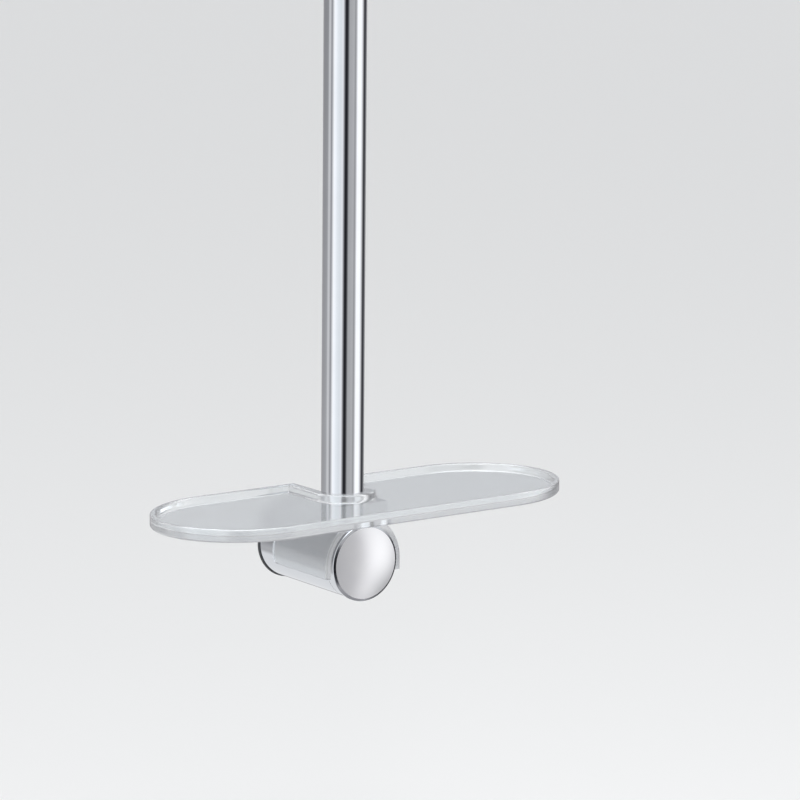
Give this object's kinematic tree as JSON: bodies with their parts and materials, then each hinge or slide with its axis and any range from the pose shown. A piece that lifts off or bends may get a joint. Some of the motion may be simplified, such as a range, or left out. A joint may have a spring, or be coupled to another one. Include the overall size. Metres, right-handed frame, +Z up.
{
  "type": "wall grab rail with soap tray",
  "caption": "Vertical chrome wall rail between two round brackets, with a clear plastic soap tray that rests over the lower bracket and lifts along the rail.",
  "frame": {"origin": "centre of the lower bracket's wall face", "axes": "+Z up the rail, +Y into the wall, +X to the right for someone who faces the wall"},
  "size_m": [0.24, 0.108, 0.65],
  "materials": {
    "chrome": "polished",
    "satin_chrome": "soft polished",
    "clear_plastic": "clear, slightly frosted",
    "grey_plastic": "moulded",
    "white_plastic": "moulded",
    "rubber": "matt",
    "steel": "plain"
  },
  "bodies": {
    "rail_and_brackets": {"rail_tube": "chrome", "lower_bracket_body": "chrome", "lower_wall_hub": "grey_plastic", "lower_wall_gasket": "rubber", "lower_rail_bush": "white_plastic", "lower_rail_plug": "white_plastic", "lower_clamp_shoe": "white_plastic", "lower_clamp_screw": "steel", "lower_lock_screw": "steel", "lower_cap_ring": "rubber", "upper_bracket_body": "chrome", "upper_wall_hub": "grey_plastic", "upper_wall_gasket": "rubber", "upper_rail_bush": "white_plastic", "upper_rail_plug": "white_plastic", "upper_clamp_shoe": "white_plastic", "upper_clamp_screw": "steel", "upper_lock_screw": "steel", "upper_cap_ring": "rubber"},
    "tray": {"soap_tray": "clear_plastic"},
    "lower_cap": {"lower_front_cap": "satin_chrome"},
    "upper_cap": {"upper_front_cap": "satin_chrome"}
  },
  "joints": [
    {"name": "tray_lift", "type": "slide", "parent": "rail_and_brackets", "child": "tray", "axis": [0, 0, 1], "range_m": [0, 0.552]},
    {"name": "lower_cap_pull", "type": "slide", "parent": "rail_and_brackets", "child": "lower_cap", "axis": [0, -1, 0], "range_m": [0, 0.012]},
    {"name": "upper_cap_pull", "type": "slide", "parent": "rail_and_brackets", "child": "upper_cap", "axis": [0, -1, 0], "range_m": [0, 0.012]}
  ]
}
